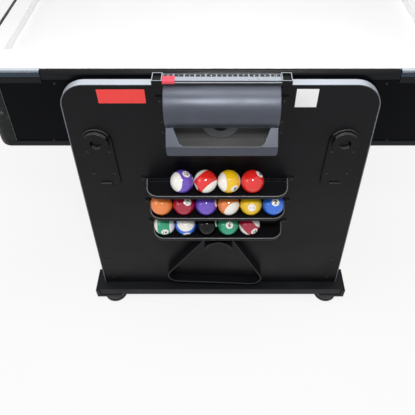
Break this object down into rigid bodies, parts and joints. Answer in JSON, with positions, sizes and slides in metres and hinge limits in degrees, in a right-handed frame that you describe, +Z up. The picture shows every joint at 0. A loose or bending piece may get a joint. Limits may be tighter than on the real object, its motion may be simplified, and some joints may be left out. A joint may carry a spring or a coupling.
{
  "type": "multi-game table",
  "caption": "Game table with a turning body between two end pedestals: hockey rink on one face, pool table on the other, ball trays, triangle, puck hoods and score keepers.",
  "frame": {"origin": "on the floor, under the middle of the table", "axes": "+Y along the table's length, away from the pedestal with the ball trays; +X to the right as seen from that pedestal; +Z up"},
  "size_m": [1.082, 2.21, 0.852],
  "materials": {
    "panel_black": "board with black laminate of a fine leather grain",
    "edge_silver": "bright silver edge band",
    "base_black": "board with black laminate",
    "foot_grey": "dark grey moulded plastic",
    "frame_black": "board with black laminate",
    "bolt_steel": "zinc plated",
    "hood_pewter": "satin pewter lacquer",
    "scorer_silver": "satin silver",
    "scorer_black": "glossy black plastic",
    "slider_red": "glossy red plastic",
    "lock_black": "black moulded plastic",
    "pin_steel": "dull steel",
    "bearing_steel": "grey steel",
    "screw_dark": "blackened steel",
    "tray_black": "glossy black plastic",
    "rack_black": "black plastic",
    "apron_black": "board with black laminate",
    "moulding_black": "satin black moulding",
    "cap_silver": "polished silver",
    "plate_grey": "grey-green lacquer",
    "field_white": "board with a glossy white slick laminate",
    "rail_black": "board with black laminate",
    "joist_wood": "raw softwood",
    "bed_board": "raw fibreboard",
    "cloth_green": "green woollen cloth",
    "cup_black": "black plastic",
    "axle_steel": "turned steel",
    "ball_01_solid_yellow": "polished, yellow",
    "ball_02_solid_blue": "polished, blue",
    "ball_03_solid_red": "polished, red",
    "ball_04_solid_purple": "polished, purple",
    "ball_05_solid_orange": "polished, orange",
    "ball_06_solid_green": "polished, green",
    "ball_07_solid_maroon": "polished, maroon",
    "ball_08_solid_black": "polished, black",
    "ball_09_striped_yellow": "polished, yellow band on white",
    "ball_10_striped_blue": "polished, blue band on white",
    "ball_11_striped_red": "polished, red band on white",
    "ball_12_striped_purple": "polished, purple band on white",
    "ball_13_striped_orange": "polished, orange band on white",
    "ball_14_striped_green": "polished, green band on white",
    "ball_15_striped_maroon": "polished, maroon band on white"
  },
  "bodies": {
    "pedestals": {"front_panel": "panel_black", "rear_panel": "panel_black", "panel_edge_bands": "edge_silver", "base_beams": "base_black", "base_end_caps": "base_black", "side_gussets": "frame_black", "stretchers": "frame_black", "stretcher_bolts": "bolt_steel", "front_hood": "hood_pewter", "rear_hood": "hood_pewter", "scorer_rails": "scorer_silver", "scorer_end_blocks": "scorer_black", "lock_plates": "lock_black", "pivot_bearings": "bearing_steel", "panel_screws": "screw_dark", "upper_ball_tray": "tray_black", "middle_ball_tray": "tray_black", "lower_ball_tray": "tray_black", "rack_hanger": "rack_black"},
    "playing_body": {"side_aprons": "apron_black", "end_aprons": "apron_black", "edge_mouldings": "moulding_black", "corner_caps": "cap_silver", "corner_plates": "plate_grey", "hockey_field": "field_white", "hockey_rails": "field_white", "field_joists": "joist_wood", "pool_bed": "bed_board", "pool_cloth": "cloth_green", "cushions": "cloth_green", "pool_rails": "rail_black", "pocket_cups": "cup_black", "pivot_axles": "axle_steel", "puck_chutes": "cup_black"},
    "foot_front_left_body": {"foot_front_left": "foot_grey"},
    "foot_front_right_body": {"foot_front_right": "foot_grey"},
    "foot_rear_left_body": {"foot_rear_left": "foot_grey"},
    "foot_rear_right_body": {"foot_rear_right": "foot_grey"},
    "lock_pin_front_left_body": {"lock_pin_front_left": "pin_steel"},
    "lock_pin_front_right_body": {"lock_pin_front_right": "pin_steel"},
    "lock_pin_rear_left_body": {"lock_pin_rear_left": "pin_steel"},
    "lock_pin_rear_right_body": {"lock_pin_rear_right": "pin_steel"},
    "ball_01_body": {"ball_01": "ball_01_solid_yellow"},
    "ball_02_body": {"ball_02": "ball_02_solid_blue"},
    "ball_03_body": {"ball_03": "ball_03_solid_red"},
    "ball_04_body": {"ball_04": "ball_04_solid_purple"},
    "ball_05_body": {"ball_05": "ball_05_solid_orange"},
    "ball_06_body": {"ball_06": "ball_06_solid_green"},
    "ball_07_body": {"ball_07": "ball_07_solid_maroon"},
    "ball_08_body": {"ball_08": "ball_08_solid_black"},
    "ball_09_body": {"ball_09": "ball_09_striped_yellow"},
    "ball_10_body": {"ball_10": "ball_10_striped_blue"},
    "ball_11_body": {"ball_11": "ball_11_striped_red"},
    "ball_12_body": {"ball_12": "ball_12_striped_purple"},
    "ball_13_body": {"ball_13": "ball_13_striped_orange"},
    "ball_14_body": {"ball_14": "ball_14_striped_green"},
    "ball_15_body": {"ball_15": "ball_15_striped_maroon"},
    "front_slider": {"front_score_slider": "slider_red"},
    "rear_slider": {"rear_score_slider": "slider_red"},
    "triangle": {"triangle_rack": "rack_black"}
  },
  "joints": [
    {"name": "table_turn", "type": "hinge", "parent": "pedestals", "child": "playing_body", "pos_m": [0, 0, 0.745], "axis": [0, 1, 0], "range_deg": [0, 180]},
    {"name": "foot_front_left_turn", "type": "hinge", "parent": "pedestals", "child": "foot_front_left_body", "pos_m": [-0.358, -1.0285, 0], "axis": [0, 0, 1], "continuous": true},
    {"name": "foot_front_right_turn", "type": "hinge", "parent": "pedestals", "child": "foot_front_right_body", "pos_m": [0.358, -1.0285, 0], "axis": [0, 0, 1], "continuous": true},
    {"name": "foot_rear_left_turn", "type": "hinge", "parent": "pedestals", "child": "foot_rear_left_body", "pos_m": [-0.358, 1.0285, 0], "axis": [0, 0, 1], "continuous": true},
    {"name": "foot_rear_right_turn", "type": "hinge", "parent": "pedestals", "child": "foot_rear_right_body", "pos_m": [0.358, 1.0285, 0], "axis": [0, 0, 1], "continuous": true},
    {"name": "front_score", "type": "slide", "parent": "pedestals", "child": "front_slider", "axis": [1, 0, 0], "range_m": [0, 0.221]},
    {"name": "rear_score", "type": "slide", "parent": "pedestals", "child": "rear_slider", "axis": [-1, 0, 0], "range_m": [0, 0.221]},
    {"name": "lock_pin_front_left_slide", "type": "slide", "parent": "pedestals", "child": "lock_pin_front_left_body", "axis": [0, 1, 0], "range_m": [0, 0.016]},
    {"name": "lock_pin_front_right_slide", "type": "slide", "parent": "pedestals", "child": "lock_pin_front_right_body", "axis": [0, 1, 0], "range_m": [0, 0.016]},
    {"name": "lock_pin_rear_left_slide", "type": "slide", "parent": "pedestals", "child": "lock_pin_rear_left_body", "axis": [0, -1, 0], "range_m": [0, 0.016]},
    {"name": "lock_pin_rear_right_slide", "type": "slide", "parent": "pedestals", "child": "lock_pin_rear_right_body", "axis": [0, -1, 0], "range_m": [0, 0.016]},
    {"name": "triangle_lift_off", "type": "slide", "parent": "pedestals", "child": "triangle", "axis": [0, -1, 0], "range_m": [0, 0.1]},
    {"name": "ball_01_out", "type": "slide", "parent": "pedestals", "child": "ball_01_body", "axis": [0, -0.9272, 0.3746], "range_m": [0, 0.09]},
    {"name": "ball_02_out", "type": "slide", "parent": "pedestals", "child": "ball_02_body", "axis": [0, -0.9272, 0.3746], "range_m": [0, 0.09]},
    {"name": "ball_03_out", "type": "slide", "parent": "pedestals", "child": "ball_03_body", "axis": [0, -0.9272, 0.3746], "range_m": [0, 0.09]},
    {"name": "ball_04_out", "type": "slide", "parent": "pedestals", "child": "ball_04_body", "axis": [0, -0.9272, 0.3746], "range_m": [0, 0.09]},
    {"name": "ball_05_out", "type": "slide", "parent": "pedestals", "child": "ball_05_body", "axis": [0, -0.9272, 0.3746], "range_m": [0, 0.09]},
    {"name": "ball_06_out", "type": "slide", "parent": "pedestals", "child": "ball_06_body", "axis": [0, -0.9272, 0.3746], "range_m": [0, 0.09]},
    {"name": "ball_07_out", "type": "slide", "parent": "pedestals", "child": "ball_07_body", "axis": [0, -0.9272, 0.3746], "range_m": [0, 0.09]},
    {"name": "ball_08_out", "type": "slide", "parent": "pedestals", "child": "ball_08_body", "axis": [0, -0.9272, 0.3746], "range_m": [0, 0.09]},
    {"name": "ball_09_out", "type": "slide", "parent": "pedestals", "child": "ball_09_body", "axis": [0, -0.9272, 0.3746], "range_m": [0, 0.09]},
    {"name": "ball_10_out", "type": "slide", "parent": "pedestals", "child": "ball_10_body", "axis": [0, -0.9272, 0.3746], "range_m": [0, 0.09]},
    {"name": "ball_11_out", "type": "slide", "parent": "pedestals", "child": "ball_11_body", "axis": [0, -0.9272, 0.3746], "range_m": [0, 0.09]},
    {"name": "ball_12_out", "type": "slide", "parent": "pedestals", "child": "ball_12_body", "axis": [0, -0.9272, 0.3746], "range_m": [0, 0.09]},
    {"name": "ball_13_out", "type": "slide", "parent": "pedestals", "child": "ball_13_body", "axis": [0, -0.9272, 0.3746], "range_m": [0, 0.09]},
    {"name": "ball_14_out", "type": "slide", "parent": "pedestals", "child": "ball_14_body", "axis": [0, -0.9272, 0.3746], "range_m": [0, 0.09]},
    {"name": "ball_15_out", "type": "slide", "parent": "pedestals", "child": "ball_15_body", "axis": [0, -0.9272, 0.3746], "range_m": [0, 0.09]}
  ]
}
